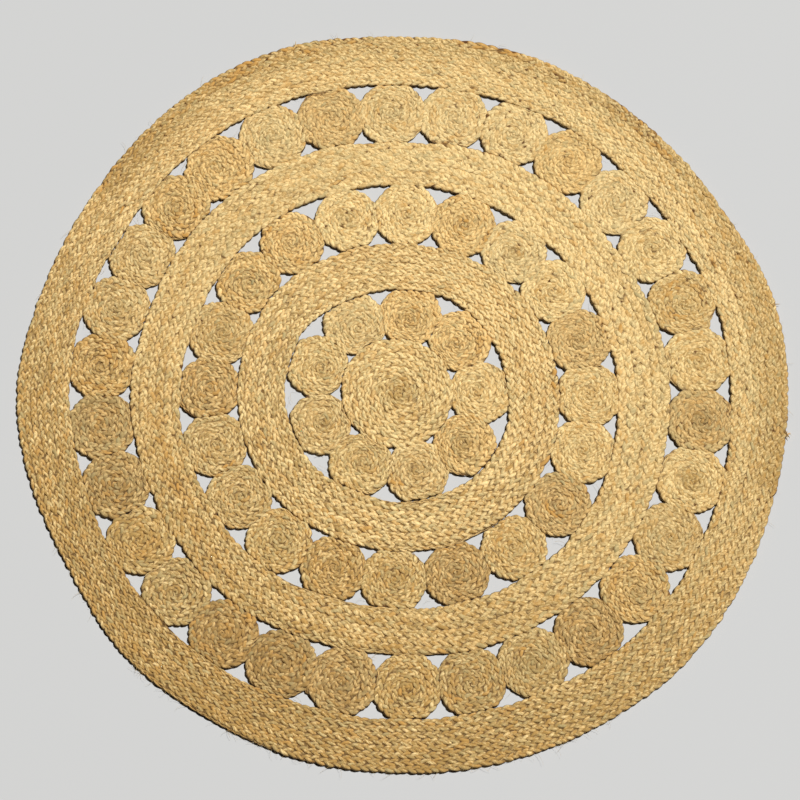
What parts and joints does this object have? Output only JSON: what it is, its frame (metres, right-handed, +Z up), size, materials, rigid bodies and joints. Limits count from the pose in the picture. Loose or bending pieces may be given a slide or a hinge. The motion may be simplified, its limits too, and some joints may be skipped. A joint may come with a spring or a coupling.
{
  "type": "round jute rug",
  "caption": "Flat round rug of coiled natural jute braid: a centre coil, rings of small coils with open triangular gaps between them, and broad braided bands.",
  "frame": {"origin": "on the floor, under the middle of the rug's outline", "axes": "+Z up, +X to the right and +Y away from the viewer in the reference view"},
  "size_m": [1.211, 1.1954, 0.008],
  "materials": {
    "jute_band": "flat three-strand jute braid, golden straw, dry and matt",
    "jute_straw": "coiled jute braid, golden straw, matt",
    "jute_sand": "coiled jute braid, pale greyish sand, matt",
    "jute_tan": "coiled jute braid, orange tan, matt",
    "jute_husk": "coiled jute braid, darker husk brown, matt"
  },
  "bodies": {
    "root": {"centre_coil": "jute_straw", "inner_coil_01": "jute_straw", "inner_coil_02": "jute_tan", "inner_coil_03": "jute_tan", "inner_coil_04": "jute_sand", "inner_coil_05": "jute_straw", "inner_coil_06": "jute_sand", "inner_coil_07": "jute_straw", "inner_coil_08": "jute_sand", "inner_coil_09": "jute_tan", "middle_coil_01": "jute_straw", "middle_coil_02": "jute_husk", "middle_coil_03": "jute_straw", "middle_coil_04": "jute_sand", "middle_coil_05": "jute_tan", "middle_coil_06": "jute_straw", "middle_coil_07": "jute_straw", "middle_coil_08": "jute_tan", "middle_coil_09": "jute_tan", "middle_coil_10": "jute_sand", "middle_coil_11": "jute_husk", "middle_coil_12": "jute_sand", "middle_coil_13": "jute_sand", "middle_coil_14": "jute_straw", "middle_coil_15": "jute_tan", "middle_coil_16": "jute_straw", "middle_coil_17": "jute_husk", "middle_coil_18": "jute_straw", "middle_coil_19": "jute_husk", "middle_coil_20": "jute_straw", "outer_coils_01_02": "jute_straw", "outer_coil_03": "jute_straw", "outer_coil_04": "jute_sand", "outer_coil_05": "jute_tan", "outer_coil_06": "jute_sand", "outer_coil_07": "jute_sand", "outer_coil_08": "jute_sand", "outer_coil_09": "jute_husk", "outer_coil_10": "jute_sand", "outer_coils_11_12": "jute_tan", "outer_coil_13": "jute_sand", "outer_coil_14": "jute_sand", "outer_coil_15": "jute_tan", "outer_coil_16": "jute_husk", "outer_coil_17": "jute_husk", "outer_coil_18": "jute_straw", "outer_coil_19": "jute_sand", "outer_coil_20": "jute_husk", "outer_coils_21_22": "jute_husk", "outer_coil_23": "jute_straw", "outer_coil_24": "jute_sand", "outer_coil_25": "jute_sand", "outer_coil_26": "jute_husk", "outer_coil_27": "jute_tan", "outer_coil_28": "jute_sand", "outer_coil_29": "jute_straw", "outer_coil_30": "jute_husk", "inner_band": "jute_band", "middle_band": "jute_band", "outer_band": "jute_band"}
  },
  "joints": []
}
